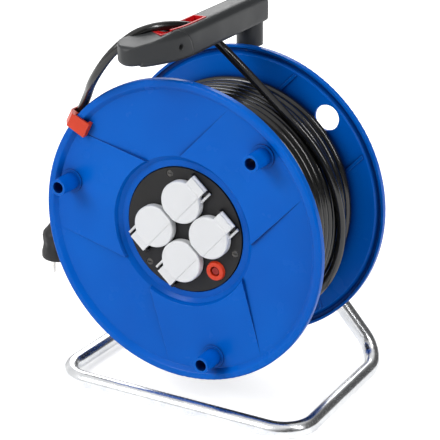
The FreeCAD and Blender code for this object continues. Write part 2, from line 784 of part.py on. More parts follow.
def winding_path():
    stations = winding_stations()
    last = len(stations) - 1
    end_angle = math.atan2(LEAD_LEAVE.z, LEAD_LEAVE.x)
    points = []
    ways = []
    for index, (radius, y) in enumerate(stations):
        angle = end_angle - math.pi * (last - index)
        outward = Vector(math.cos(angle), 0, math.sin(angle))
        around = Vector(-math.sin(angle), 0, math.cos(angle))
        before = y - stations[max(index - 1, 0)][1]
        after = stations[min(index + 1, last)][1] - y
        slope = min(before, after, key=abs) / math.pi if before * after > 0 else 0
        points.append(outward * radius + Vector(0, y, 0))
        ways.append((around * radius + Vector(0, slope, 0)).normalize())
    ways[0] = Vector(ways[0].x, 0, ways[0].z).normalize()
    ways[last] = LEAD_HEADING
    stub = num("start_stop")
    edges = [Part.LineSegment(points[0] - ways[0] * stub, points[0]).toShape()]
    for index in range(last):
        for arc in biarc(points[index], ways[index], points[index + 1], ways[index + 1]):
            edges.append(arc.toShape())
    end = points[last] + LEAD_HEADING * num("lead_stub")
    edges.append(Part.LineSegment(points[last], end).toShape())
    return Part.Wire(edges), points[0] - ways[0] * stub, ways[0]


WINDING_PATH, WINDING_START, WINDING_WAY = winding_path()


def cord_winding():
    return held_shape("winding_shape", round_sweep(WINDING_PATH, num("cord_radius")))


def winding_gap():
    """The least gap between the winding's turns, measured on points of its centre line."""
    spots = []
    for edge in WINDING_PATH.Edges:
        spots += edge.discretize(Number=25)[:-1]
    cells = {}
    size = 12.0
    run = 0.0
    marks = []
    for index, spot in enumerate(spots):
        if index:
            run += (spot - spots[index - 1]).Length
        marks.append(run)
        key = (int(spot.x // size), int(spot.y // size), int(spot.z // size))
        cells.setdefault(key, []).append(index)
    least = 1e9
    for index, spot in enumerate(spots):
        kx, ky, kz = int(spot.x // size), int(spot.y // size), int(spot.z // size)
        for dx in (-1, 0, 1):
            for dy in (-1, 0, 1):
                for dz in (-1, 0, 1):
                    for other in cells.get((kx + dx, ky + dy, kz + dz), []):
                        if marks[other] - marks[index] > 60:
                            least = min(least, (spots[other] - spot).Length)
    return least - 2 * num("cord_radius")


def cord_core():
    """The layers below the outer one, with the stop that the outer layer starts from."""
    outer = rod("core_outer", "core_radius", "-(web_ring-web_wall-clear_gap)",
                "web_ring-web_wall-clear_gap")
    bore = rod("core_bore", "barrel_radius+clear_gap", "-web_ring", "web_ring")
    ring = cut("core_ring", outer, [bore])
    radius = num("cord_radius")
    block = Part.makeBox(2 * radius, 4 * radius + 10, 2 * radius,
                         Vector(-radius, 0, -radius))
    block.Placement = FreeCAD.Placement(WINDING_START, Rotation(Vector(0, -1, 0), WINDING_WAY))
    around = held_shape("core_stop_block", block)
    shell = rod("core_stop_limit", "winding_radius+cord_radius", "-winding_edge-cord_radius",
                "-winding_edge+cord_radius")
    return fuse("core_made", [ring, common("core_stop", around, shell)])


# Plug on the cord's end


def plug_body():
    top = "plug_top"
    place = ("plug_x", "plug_y")
    neck = cone_up("plug_neck_cone", "plug_radius-2.5", "relief_radius+1",
                   f"{top}-plug_neck", top, *place)
    barrel = rod_up("plug_barrel", "plug_radius", f"{top}-plug_length", f"{top}-plug_neck", *place)
    return fuse("plug_solid", [neck, barrel])


def plug_parts():
    top = "plug_top"
    place = ("plug_x", "plug_y")
    face = f"{top}-plug_length"
    body = plug_body()
    sockets = []
    pins = []
    for side in (-1, 1):
        x = f"plug_x+{side}*pin_spacing"
        pins.append(rod_up(f"plug_pin_{side + 1}", "plug_pin_radius", f"{face}-plug_pin_length",
                           f"{face}+8", x, "plug_y"))
        sockets.append(rod_up(f"plug_socket_{side + 1}", "plug_pin_radius", f"{face}-1",
                              f"{face}+8", x, "plug_y"))
    for side in (-1, 1):
        y = f"plug_y+{side}*plug_radius"
        sockets.append(box(f"plug_earth_{side + 1}", ("plug_x-3.2", "plug_x+3.2"),
                           (f"{y}-2", f"{y}+2"), (f"{face}-1", f"{face}+14")))
    made = cut("plug_made", body, sockets)
    relief = cone_up("relief_cone", "relief_radius", "relief_top_radius", top, "lead_end", *place)
    return made, pieces("plug_pin_set", pins), relief


# Socket plate and what it carries


def socket_places():
    """Centre of each socket and the heading of its hinge, clockwise from the top."""
    return [("top", 90, 0, -1), ("right", 0, 0, -1), ("bottom", 270, 180, 1),
            ("left", 180, 180, 1)]


def local(obj, centre_angle, turn):
    """Move a piece drawn about a socket's centre, with X to the hinge, to its socket."""
    x, z = polar("socket_pitch", str(centre_angle))
    return put(obj, x, "0", z, "0;-1;0", f"lid_angle+{turn}")


def socket_plate():
    disc = rod("plate_disc", "socket_plate_radius", "-plate_front", "-plate_rear")
    ears = []
    tools = []
    for label, centre, turn, _ in socket_places():
        x, z = polar("socket_pitch", str(centre))
        tools.append(rod(f"recess_{label}", "recess_radius", "-plate_front-1", "-plate_rear+1",
                         x, z))
        made = []
        for side in (-1, 1):
            near = "knuckle_half+ear_gap"
            pair = sorted((f"{side}*({near})", f"{side}*({near}+hinge_ear)"), key=num)
            block = box(f"ear_{label}_{side + 1}", ("hinge_reach-2.5", "hinge_reach+2.5"),
                        ("-block_front+1.5", "-plate_front+1"), pair)
            made.append(block)
        bar = pieces(f"ears_{label}", made)
        ears.append(local(bar, centre, turn))
        tools.append(local(hinge_rod(f"ear_bore_{label}", "hinge_pin_radius"), centre, turn))
    for index in range(3):
        x, z = polar("plate_screw_pitch", f"plate_screw_angle+{120 * index}")
        tools.append(rod(f"plate_hole_{index}", "plate_screw_radius+fit_gap", "-plate_front-1",
                         "-plate_rear+1", x, z))
        tools.append(rod(f"plate_sink_{index}", "plate_screw_head+clear_gap",
                         "-plate_front-1", "-plate_front+2", x, z))
    x, z = polar("reset_pitch", "reset_angle")
    tools.append(rod("reset_hole", "collar_neck", "-plate_front-1", "-plate_rear+1", x, z))
    return cut("socket_plate_made", fuse("socket_plate_solid", [disc] + ears), tools)


def hinge_rod(name, radius):
    """A rod along a lid's hinge line, drawn about the socket's centre."""
    half = "knuckle_half+ear_gap+hinge_ear"
    obj = doc.addObject("Part::Cylinder", name)
    obj.setExpression("Radius", ref(radius))
    obj.setExpression("Height", ref(f"2*({half})"))
    put(obj, "hinge_reach", "-knuckle_depth", f"-({half})")
    return pieces(name + "_held", [obj])


def plate_screws():
    made = []
    for index in range(3):
        x, z = polar("plate_screw_pitch", f"plate_screw_angle+{120 * index}")
        shank = rod(f"plate_shank_{index}", "plate_screw_radius", "-plate_front+1.5",
                    "-plate_boss_end-1", x, z)
        head = rod(f"plate_head_{index}", "plate_screw_head", "-plate_front+0.2",
                   "-plate_front+2", x, z)
        slot = box(f"plate_slot_{index}", (f"{x}-2.2", f"{x}+2.2"),
                   ("-plate_front-1", "-plate_front+1"), (f"{z}-0.45", f"{z}+0.45"))
        made.append(cut(f"plate_screw_{index}", fuse(f"plate_screw_solid_{index}", [shank, head]),
                        [slot]))
    return pieces("plate_screw_set", made)


def across(name, radius, start, end, z):
    """A rod along Y at a distance along the line of a socket's pins."""
    return rod(name, radius, start, end, "0", z)


def socket_insert(label, centre, turn):
    outer = rod(f"insert_outer_{label}", "insert_radius", "-plate_rear", "-insert_rear")
    tools = [rod(f"insert_bore_{label}", "recess_radius", "-plate_rear-1", "-recess_floor")]
    for side in (-1, 1):
        tools.append(across(f"insert_pin_{label}_{side + 1}", "pin_hole_radius",
                            "-recess_floor-1", "-insert_rear+1", f"{side}*pin_spacing"))
    return local(cut(f"insert_{label}", outer, tools), centre, turn)


def contact_bar(name, side, depth):
    """A ring bar that joins one pole of the four sockets, with a sleeve behind each hole."""
    turn = "lid_angle+90"
    x, z = polar(f"{side}*pin_spacing", turn)
    outer = rod(name + "_outer", "socket_pitch+bar_half", f"-{depth}", f"-{depth}+bar_wall", x, z)
    inner = rod(name + "_inner", "socket_pitch-bar_half", f"-{depth}-1", f"-{depth}+bar_wall+1",
                x, z)
    solids = [cut(name + "_ring", outer, [inner])]
    bores = []
    for angle in (0, 90, 180, 270):
        px = f"{x}+socket_pitch*cos({angle})"
        pz = f"{z}+socket_pitch*sin({angle})"
        solids.append(rod(f"{name}_sleeve_{angle}", "sleeve_bore+sleeve_wall", "-insert_rear",
                          f"-{depth}+bar_wall", px, pz))
        bores.append(rod(f"{name}_bore_{angle}", "sleeve_bore", "-insert_rear-1",
                         f"-{depth}+bar_wall+1", px, pz))
    return cut(name + "_made", fuse(name + "_solid", solids), bores)


def earth_clips():
    made = []
    for label, centre, turn, _ in socket_places():
        blades = []
        for side in (-1, 1):
            pair = sorted((f"{side}*(recess_radius-0.9)", f"{side}*(recess_radius-0.9-earth_wall)"),
                          key=num)
            blades.append(box(f"earth_{label}_{side + 1}", pair,
                              ("-plate_front+2", "-recess_floor"), ("-earth_half", "earth_half")))
        made.append(local(pieces(f"earth_pair_{label}", blades), centre, turn))
    return pieces("earth_set", made)


def socket_lid(label, centre, turn, crease):
    """A hinged lid: a shallow cap with a hinge block, knuckle and side tab."""
    rear = "-plate_front-lid_gap"
    outer = common(f"lid_outer_{label}",
                   rod(f"lid_disc_{label}", "lid_radius", "-lid_front", rear),
                   box(f"lid_box_{label}", ("-lid_half_width", "lid_half_width"),
                       ("-lid_front", rear), ("-lid_radius", "lid_radius")))
    cap = rounded(f"lid_round_{label}", outer, "lid_edge", at_depth(-num("lid_front")))
    hollow = common(f"lid_hollow_{label}",
                    rod(f"lid_hollow_disc_{label}", "lid_radius-lid_wall",
                        "-lid_front+lid_top", "-plate_front"),
                    box(f"lid_hollow_box_{label}",
                        ("-lid_half_width+lid_wall", "lid_half_width-lid_wall"),
                        ("-lid_front+lid_top", "-plate_front"), ("-lid_radius", "lid_radius")))
    block = box(f"lid_block_{label}", ("lid_half_width-lid_wall", "hinge_reach"),
                ("-block_front", rear), ("-knuckle_half", "knuckle_half"))
    knuckle = doc.addObject("Part::Cylinder", f"knuckle_{label}")
    knuckle.setExpression("Radius", ref("knuckle_radius"))
    knuckle.setExpression("Height", ref("2*knuckle_half"))
    put(knuckle, "hinge_reach", "-knuckle_depth", "-knuckle_half")
    brow = box(f"lid_brow_{label}", ("hinge_reach-1", "hinge_reach+1.5"),
               ("-block_front", "-knuckle_depth"), ("-knuckle_half", "knuckle_half"))
    outside = "-(knuckle_half+ear_gap+hinge_ear+ear_gap+2*tab_half)"
    tab = box(f"lid_tab_{label}", ("lid_half_width-4", "hinge_reach+knuckle_radius-0.5"),
              ("-knuckle_depth-0.6", "-knuckle_depth+1.5"), (outside, f"{outside}+2*tab_half"))
    bore = hinge_rod(f"lid_bore_{label}", "hinge_pin_radius+hinge_pin_gap")
    groove = box(f"lid_crease_{label}", ("-lid_half_width-1", "lid_half_width+1"),
                 ("-lid_front-1", "-lid_front+0.35"), (f"{crease}*9-0.3", f"{crease}*9+0.3"))
    solid = fuse(f"lid_solid_{label}", [cap, block, knuckle, brow, tab])
    return local(cut(f"lid_{label}", solid, [hollow, bore, groove]), centre, turn)


def lid_pins():
    made = []
    for label, centre, turn, _ in socket_places():
        made.append(local(hinge_rod(f"lid_pin_{label}", "hinge_pin_radius"), centre, turn))
    return pieces("lid_pin_set", made)


def thermal_reset():
    x, z = polar("reset_pitch", "reset_angle")
    flange = cone("collar_flange", "collar_radius-1", "collar_radius", "-collar_front",
                  "-plate_front", x, z)
    neck = rod("collar_neck_rod", "collar_neck", "-plate_front-1", "-cutout_front", x, z)
    bore = rod("collar_hole", "collar_bore", "-collar_front-1", "-cutout_front+1", x, z)
    collar = cut("collar_made", fuse("collar_solid", [flange, neck]), [bore])
    button = rod("button_rod", "button_radius", "-button_front",
                 "-cutout_front+6-button_travel", x, z)
    body = box("cutout_box", ("reset_pitch-cutout_half", "reset_pitch+cutout_half"),
               ("-cutout_front", "-cutout_rear"), ("-cutout_half", "cutout_half"))
    body = turned(pieces("cutout_turned", [body]), "reset_angle")
    hole = rod("cutout_hole", "button_radius+clear_gap", "-cutout_front-1", "-cutout_front+6.5", x, z)
    return collar, pieces("button_made", [button]), cut("cutout_made", body, [hole])


# Clip that holds the cord on the front rim


CLIP_SPAN = 30


def slab(name, corners, along):
    """A flat outline pushed along a vector."""
    outline = Part.Face(Part.makePolygon(corners + [corners[0]]))
    return held_shape(name, outline.extrude(along))


def leaning(name, spots):
    """A prism along the slant on which the cord crosses the rim, from (radius, y) corners."""
    slope = num("clip_slope")
    start = -CLIP_SPAN / 2
    corners = [Vector(num(radius) - slope * start, num(y), start) for radius, y in spots]
    return slab(name, corners, Vector(-slope * CLIP_SPAN, 0, CLIP_SPAN))


def clip_sides():
    """The clip's side edges: flared outwards below, and narrowing behind the rim."""
    front = -num("clip_front") - 1
    rear = -num("clip_rear-clip_wall") + 1
    inner = num("clip_inner")
    outer = num("clip_reach")
    high = num("clip_high")
    low = num("clip_low")
    flare = (low - num("clip_low_inner")) / (outer - inner)
    lean = (high - num("clip_high_inner")) / (outer - inner)
    margin = 5
    upper = num("clip_high_inner") - lean * margin
    corners = [Vector(inner - margin, front, upper),
               Vector(outer + margin, front, high + lean * margin),
               Vector(outer + margin, front, low + flare * margin),
               Vector(inner - margin, front, num("clip_low_inner") - flare * margin)]
    plan = slab("clip_plan", corners, Vector(0, rear - front, 0))
    turn = -num("clip_taper")
    back = -num("clip_rear-clip_wall")
    start = inner - margin
    corners = [Vector(start, front, upper), Vector(start, front, low), Vector(start, turn, low),
               Vector(start, back, num("clip_rear_low")),
               Vector(start, back, num("clip_rear_high")), Vector(start, turn, upper)]
    taper = slab("clip_side_taper", corners, Vector(outer - inner + 2 * margin, 0, 0))
    return common("clip_side_edges", plan, taper)


def cable_clip():
    rear = "-clip_rear+clip_wall"
    block = leaning("clip_block", [("clip_inner", "-clip_front"), ("clip_face", "-clip_front"),
                                   ("clip_reach", "-clip_front+clip_bevel"),
                                   ("clip_reach", rear), ("clip_inner", rear)])
    room_front = "-half_width+5.5"
    room = leaning("clip_room", [("rim_inner", room_front), ("clip_outer", room_front),
                                 ("clip_outer", "-clip_rear"), ("rim_inner", "-clip_rear")])
    wide = (-CLIP_SPAN / 2, CLIP_SPAN / 2)
    beyond = f"{rear}+1"
    rim_room = box("clip_rim_room", ("rim_inner", "flange_radius+0.6"),
                   ("-half_width", "-half_width+rim_depth+1"), wide)
    open_rear = box("clip_open_rear", ("0", "clip_hook"), ("-half_width+4", beyond), wide)
    step = box("clip_step", ("0", "rim_inner"), ("-web_rim", beyond), wide)
    face = box("clip_face_room", ("clip_inner+5", "flange_radius"), ("-half_width", "-web_rim+1"),
               wide)
    solid = common("clip_solid", block, clip_sides())
    made = cut("clip_made", solid, [room, rim_room, open_rear, step, face])
    return turned(made, "clip_angle")


# Handle


def grip_path(start, turn, beyond):
    """The grip's centre line: straight forward, then bending to the left."""
    x = num("post_x")
    bend_start = num("grip_turn_start")
    radius = num("grip_turn_radius")
    angle = math.radians(turn)
    first = Vector(x, start, 0)
    second = Vector(x, bend_start, 0)
    middle = Vector(x - radius * (1 - math.cos(angle / 2)),
                    bend_start - radius * math.sin(angle / 2), 0)
    third = Vector(x - radius * (1 - math.cos(angle)), bend_start - radius * math.sin(angle), 0)
    edges = [Part.LineSegment(first, second).toShape(), Part.Arc(second, middle, third).toShape()]
    if beyond > 0:
        ahead = Vector(-math.sin(angle), -math.cos(angle), 0)
        edges.append(Part.LineSegment(third, third + ahead * beyond).toShape())
    return Part.Wire(edges)


def section_sweep(path, half, low, high, edge_high, edge_low):
    """A bar of rounded rectangular section along the grip's centre line."""
    x = num("post_x")
    y = path.Edges[0].valueAt(path.Edges[0].FirstParameter).y
    corners = [(-half, low, edge_low), (half, low, edge_low),
               (half, high, edge_high), (-half, high, edge_high)]
    inward = [(1, 1), (-1, 1), (-1, -1), (1, -1)]
    edges = []
    ends = []
    for (cx, cz, radius), (sx, sz) in zip(corners, inward):
        level = Vector(x + cx + sx * radius, y, cz)
        upright = Vector(x + cx, y, cz + sz * radius)
        centre = Vector(x + cx + sx * radius, y, cz + sz * radius)
        ends.append((level, upright, centre, radius))
    order = [(ends[0], 1, 0), (ends[1], 0, 1), (ends[2], 1, 0), (ends[3], 0, 1)]
    for number, (end, into, out) in enumerate(order):
        if end[3] > 0:
            middle = end[2] + ((end[0] + end[1]) * 0.5 - end[2]).normalize() * end[3]
            edges.append(Part.Arc(end[into], middle, end[out]).toShape())
        after = order[(number + 1) % 4]
        edges.append(Part.LineSegment(end[out], after[0][after[1]]).toShape())
    section = Part.Wire(edges)
    return path.makePipeShell([section], True, False)


def outline_block(points, rounds, thickness, direction, offset):
    """A block whose outline has rounded corners."""
    closed = points + [points[0], points[1]]
    edges = []
    corner_ends = []
    for index in range(1, len(points) + 1):
        corner = closed[index]
        before = (corner - closed[index - 1]).normalize()
        after = (closed[index + 1] - corner).normalize()
        turn = before.getAngle(after)
        radius = rounds[index % len(points)]
        back = radius * math.tan(turn / 2)
        way = (after - before).normalize()
        centre = corner + way * (radius / math.cos(turn / 2))
        corner_ends.append((corner - before * back, centre - way * radius, corner + after * back))
    for index, (first, middle, last) in enumerate(corner_ends):
        edges.append(Part.Arc(first, middle, last).toShape())
        following = corner_ends[(index + 1) % len(corner_ends)][0]
        edges.append(Part.LineSegment(last, following).toShape())
    face = Part.Face(Part.Wire(edges))
    face.translate(direction * offset)
    return face.extrude(direction * thickness)


def grip_bar():
    """The whole bar of the handle before it is split into grip and guide arm."""
    path = grip_path(num("grip_rear"), num("grip_turn"), num("grip_nose"))
    bar = section_sweep(path, num("grip_half"), num("grip_low"), num("grip_top"),
                        num("grip_edge"), num("grip_edge_low"))
    tip = path.Edges[-1].valueAt(path.Edges[-1].LastParameter)
    low = num("grip_low")
    top = num("grip_top")
    rear = num("grip_rear")
    side = [Vector(0, rear, low), Vector(0, rear, top),
            Vector(0, num("grip_crown_y"), top + num("grip_crown")),
            Vector(0, tip.y - 3, num("nose_top")), Vector(0, tip.y - 3, num("nose_low")),
            Vector(0, num("chin_y"), low)]
    profile = outline_block(side, [4, 12, 40, 5, 5, 30], 160, Vector(1, 0, 0), -110)
    angle = math.radians(num("grip_turn"))
    ahead = Vector(-math.sin(angle), -math.cos(angle), 0)
    aside = Vector(-math.cos(angle), math.sin(angle), 0)
    half = num("grip_half")
    nose = num("grip_nose")
    bend = num("nose_round")
    long = nose + bend
    plan = [tip + aside * half - ahead * long, tip + aside * half, tip - aside * half,
            tip - aside * half - ahead * long]
    room = 2 * (rear - tip.y)
    edge = num("nose_edge")
    bottom = num("nose_low")
    nose_plan = outline_block(plan, [edge + 1, bend, bend, edge + 1], room, Vector(0, 0, 1),
                              bottom)
    lowest = [rim for rim in nose_plan.Edges if abs(rim.BoundBox.ZMax - bottom) < 0.001]
    nose_plan = nose_plan.makeFillet(edge, lowest)
    back = Part.makeBox(room, room, room, Vector(-room / 2, 0, 0))
    heading = Rotation(Vector(0, 0, 1), -num("grip_turn"))
    back.Placement = FreeCAD.Placement(tip - ahead * (nose - 3), heading)
    return bar.common(profile).common(nose_plan.fuse(back))


GRIP_BAR = grip_bar()


def handle_slot(name, rear, turn, half, low):
    path = grip_path(num(rear), num(turn), 0)
    return held_shape(name, section_sweep(path, num(half), num(low), num("grip_top") + 12, 0, 0))


def arm_region(name, gap):
    """The space in front of the curved seam."""
    disc = rod_across(name + "_disc", f"seam_radius-({gap})", "-80", "40", "seam_y", "seam_z")
    front = box(name + "_front", ("-80", "40"), ("-130", "seam_y"), ("150", "200"))
    return fuse(name, [disc, front])


def tongue(name, gap):
    """The tongue of the grip that the guide arm slides over and is screwed to."""
    return box(name, (f"tongue_left-({gap})", f"tongue_right+({gap})"),
               (f"tongue_front-({gap})", "seam_y+seam_radius+2"),
               (f"tongue_low-({gap})", f"tongue_high+({gap})"))


def guide_arm_screw():
    place = ("arm_hole_y", "arm_hole_z")
    shank = rod_across("arm_shank", "arm_screw_radius", "arm_screw_tip", "arm_screw_seat+0.5", *place)
    head = rod_across("arm_head", "arm_screw_head", "arm_screw_seat", "arm_screw_seat+1.8", *place)
    slot = box("arm_head_slot", ("arm_screw_seat+1", "arm_screw_seat+3"),
               ("arm_hole_y-0.4", "arm_hole_y+0.4"), ("arm_hole_z-1.8", "arm_hole_z+1.8"))
    return cut("arm_screw_made", fuse("arm_screw_solid", [shank, head]), [slot])


def handle_grip():
    bar = held_shape("grip_bar", GRIP_BAR)
    socket = rod_up("grip_socket", "socket_radius", "socket_low", "grip_top-13", "post_x",
                    "tube_plane")
    solid = cut("grip_behind_seam", bar, [arm_region("grip_seam", "-seam_gap/2")])
    solid = fuse("grip_solid", [solid, socket, tongue("grip_tongue", "0")])
    post_bore = rod_up("post_bore", "tube_radius+fit_gap", "socket_low-1", "post_top", "post_x",
                       "tube_plane")
    tools = [post_bore, passage("grip_passage"),
             handle_slot("grip_slot", "slot_rear", "slot_turn", "slot_half", "slot_low"),
             post_screw_hole("grip_post_hole"), post_screw_sink("grip_post_sink"),
             rod_across("tongue_hole", "arm_screw_radius", "tongue_left-1", "tongue_right+1",
                        "arm_hole_y", "arm_hole_z")]
    return cut("grip_made", solid, tools)


def guide_arm():
    bar = held_shape("arm_bar", GRIP_BAR)
    solid = common("arm_front", bar, arm_region("arm_seam", "seam_gap/2"))
    tools = [passage("arm_passage"),
             handle_slot("arm_slot", "slot_rear", "slot_turn", "slot_half", "slot_low"),
             tongue("arm_pocket", "seam_gap"),
             rod_across("arm_hole", "arm_screw_radius", "arm_screw_tip", "20", "arm_hole_y",
                        "arm_hole_z"),
             rod_across("arm_sink", "arm_screw_head+clear_gap", "arm_screw_seat", "20",
                        "arm_hole_y", "arm_hole_z")]
    return cut("arm_made", solid, tools)


def cable_guide_insert():
    outer = handle_slot("insert_outer", "slot_rear", "slot_turn", "slot_half", "slot_low")
    top = box("insert_limit", ("-60", "40"), ("-100", "20"), ("slot_low", "grip_top+insert_crown"))
    block = common("insert_block", outer, top)
    path = grip_path(num("slot_rear-insert_wall"), num("slot_turn") - 1, 0)
    hollow = held_shape("insert_hollow",
                        section_sweep(path, num("slot_half-insert_wall"),
                                      num("slot_low+insert_wall"), num("grip_top") + 12, 0, 0))
    mouth = box("insert_mouth", ("-60", "40"), ("-100", "seam_y+seam_radius-22"),
                ("grip_top-2.2", "grip_top+12"))
    return cut("guide_insert_made", block, [hollow, mouth, passage("insert_passage")])


def post_screw_hole(name):
    return rod(name, "post_screw_radius", "tube_plane-tube_radius-3",
               "tube_plane+socket_radius+1", "post_x", "post_screw_z")


def post_screw_sink(name):
    return rod(name, "post_screw_head+fit_gap", "tube_plane+socket_radius-2",
               "tube_plane+socket_radius+1", "post_x", "post_screw_z")


def post_screw():
    shank = rod("post_screw_shank", "post_screw_radius", "tube_plane-tube_radius-3",
                "tube_plane+socket_radius-1.5", "post_x", "post_screw_z")
    head = rod("post_screw_disc", "post_screw_head", "tube_plane+socket_radius-2",
               "tube_plane+socket_radius-0.4", "post_x", "post_screw_z")
    return fuse("post_screw_made", [shank, head])


node(front_half(), "front_drum_half")
node(rear_half(), "rear_drum_half")
node(drum_screws(), "drum_screws")
node(inner_tail(), "inner_tail")
node(terminal_block(), "terminal_block")
node(tail_clamp(), "tail_clamp")
node(bearing_bush(), "bearing_bush")
node(frame_tube(), "frame_tube")
node(hub_plate(), "hub_plate")
node(clamp_plate(), "clamp_plate")
node(clamp_bolts(), "clamp_bolts")
node(clamp_nuts(), "clamp_nuts")
node(axle_pin(), "axle_pin")
node(axle_washer(), "axle_washer")
node(axle_circlip(), "axle_circlip")
node(handle_grip(), "handle_grip")
node(guide_arm(), "guide_arm")
node(guide_arm_screw(), "guide_arm_screw")
node(cable_guide_insert(), "cable_guide_insert")
node(post_screw(), "post_screw")
node(socket_plate(), "socket_plate")
node(plate_screws(), "plate_screws")
for label, centre, turn, crease in socket_places():
    node(socket_insert(label, centre, turn), "socket_insert_" + label)
    node(socket_lid(label, centre, turn, crease), "lid_" + label)
node(lid_pins(), "lid_pins")
node(contact_bar("live_bar", 1, "live_depth"), "live_bar")
node(contact_bar("neutral_bar", -1, "neutral_depth"), "neutral_bar")
node(earth_clips(), "earth_clips")
reset_collar, reset_button, thermal_cutout = thermal_reset()
node(reset_collar, "reset_collar")
node(reset_button, "reset_button")
node(thermal_cutout, "thermal_cutout")
node(cable_clip(), "cable_clip")
node(cord_core(), "cord_core")
WINDING = node(cord_winding(), "cord_winding")
LEAD = node(cord_lead(), "cord_lead")
plug, plug_pins, plug_relief = plug_parts()
node(plug, "plug_body")
node(plug_pins, "plug_pins")
node(plug_relief, "plug_strain_relief")

MESH_ERROR = 0.05

doc.recompute()
for obj in doc.Objects:
    if "Invalid" in obj.State or "Error" in obj.State:
        raise RuntimeError("failed: " + obj.Name + " " + str(obj.State))
for obj in NODES:
    shape = obj.Shape
    if shape.isNull() or not shape.isValid() or not shape.Solids:
        raise RuntimeError("bad shape: " + obj.Label)

# The floor is under the rails, and the origin is midway between the reel's front and back.
floor = num("rail_height-tube_radius")
rows = [point.y for obj in NODES
        if obj.Label not in ("cord_lead", "plug_body", "plug_pins", "plug_strain_relief")
        for point in obj.Shape.tessellate(MESH_ERROR)[0]]
shift = -(min(rows) + max(rows)) / 2

os.makedirs("parts", exist_ok=True)
for obj in NODES:
    obj.setExpression("Placement", None)
    place = obj.Placement
    place.Base = place.Base + Vector(0, shift, -floor)
    obj.Placement = place
doc.recompute()
for obj in NODES:
    obj.Shape.exportStep(f"parts/{obj.Label}.step")
    print(obj.Label, len(obj.Shape.Solids), round(obj.Shape.Volume))

print("shift", round(shift, 3), "floor", round(floor, 3))
section = math.pi * num("cord_radius") ** 2
for obj, path in ((LEAD, LEAD_PATH), (WINDING, WINDING_PATH)):
    share = obj.Shape.Volume / (section * path.Length)
    print(obj.Label, "length", round(path.Length, 1), "volume over section x length",
          round(share, 5))
print("lead bends", [round(r, 1) for r in LEAD_BENDS])
print("winding least gap", round(winding_gap(), 2))
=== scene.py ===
"""Looks of the free-standing cord reel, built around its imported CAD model."""

import math

import bmesh
import bpy
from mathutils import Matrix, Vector


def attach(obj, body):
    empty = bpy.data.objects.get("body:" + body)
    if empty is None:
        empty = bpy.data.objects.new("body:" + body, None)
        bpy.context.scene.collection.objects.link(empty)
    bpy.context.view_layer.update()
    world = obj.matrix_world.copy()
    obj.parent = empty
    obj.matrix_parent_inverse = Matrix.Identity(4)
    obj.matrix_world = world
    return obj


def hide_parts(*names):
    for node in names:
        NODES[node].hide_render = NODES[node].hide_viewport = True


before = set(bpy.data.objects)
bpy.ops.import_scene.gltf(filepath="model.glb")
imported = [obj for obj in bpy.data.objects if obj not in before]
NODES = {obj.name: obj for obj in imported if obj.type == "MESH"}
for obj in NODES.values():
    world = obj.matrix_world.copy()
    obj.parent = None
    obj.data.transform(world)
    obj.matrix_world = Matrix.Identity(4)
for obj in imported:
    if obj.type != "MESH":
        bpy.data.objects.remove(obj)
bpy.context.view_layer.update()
bpy.context.scene.view_settings.view_transform = "Standard"

# The reel's shapes and the camera's place are in millimetres about the axle, as in the
# part's source. Finishes, lamps and the floor are in metres.
AXLE_Y = -1.153
AXLE_Z = 176.4
CORD_RADIUS = 4.25


def at(x, y, z):
    """A point about the axle, in the row frame and in metres."""
    return Vector((x, y + AXLE_Y, z + AXLE_Z)) / 1000


def round_axle(radius, angle, y=0.0):
    """The point at a radius and an angle in radians about the axle, from X towards Z."""
    return Vector((radius * math.cos(angle), y, radius * math.sin(angle)))


# Camera

CAMERA_PLACE = at(789.63, -1381.44, 614.10)
CAMERA_TARGET = at(4.49, 0.0, -9.11)
SENSOR = 36.0
LENS = 148.05

camera_data = bpy.data.cameras.new("camera")
camera_data.sensor_width = SENSOR
camera_data.lens = LENS
camera = bpy.data.objects.new("camera", camera_data)
camera.location = CAMERA_PLACE
camera.rotation_euler = (CAMERA_TARGET - CAMERA_PLACE).to_track_quat("-Z", "Y").to_euler()
bpy.context.scene.collection.objects.link(camera)
bpy.context.scene.camera = camera


# Materials

# Places of the Mix node's sockets, which share their names.
MIX_SHARE = 0
MIX_VALUES = (2, 3)
MIX_VALUE = 0
MIX_COLOURS = (6, 7)
MIX_COLOUR = 2

BEVEL_SAMPLES = 6
FLAT_DOT = 0.985
EDGE_DOT = 0.8


def new_material(name):
    """A material with its shader, and the object's coordinates to draw its detail with."""
    material = bpy.data.materials.new(name)
    material.use_nodes = True
    tree = material.node_tree
    shader = tree.nodes["Principled BSDF"]
    place = tree.nodes.new("ShaderNodeTexCoord").outputs["Object"]
    return material, tree, shader, place


def noise(tree, place, scale, detail=3.0, stretch=None):
    """Soft noise with its features about 1/scale metres across."""
    if stretch:
        mapping = tree.nodes.new("ShaderNodeMapping")
        mapping.inputs["Scale"].default_value = stretch
        tree.links.new(place, mapping.inputs["Vector"])
        place = mapping.outputs["Vector"]
    node = tree.nodes.new("ShaderNodeTexNoise")
    node.inputs["Scale"].default_value = scale
    node.inputs["Detail"].default_value = detail
    tree.links.new(place, node.inputs["Vector"])
    return node.outputs["Fac"]


def ramp(tree, value, low, high, to_low=0.0, to_high=1.0):
    """The value carried from one range to another, and held at that range's ends."""
    node = tree.nodes.new("ShaderNodeMapRange")
    node.inputs["From Min"].default_value = low
    node.inputs["From Max"].default_value = high
    node.inputs["To Min"].default_value = to_low
    node.inputs["To Max"].default_value = to_high
    tree.links.new(value, node.inputs["Value"])
    return node.outputs["Result"]


def combine(tree, operation, first, second):
    """A Math node's result on two values."""
    node = tree.nodes.new("ShaderNodeMath")
    node.operation = operation
    tree.links.new(first, node.inputs[0])
    tree.links.new(second, node.inputs[1])
    return node.outputs[0]


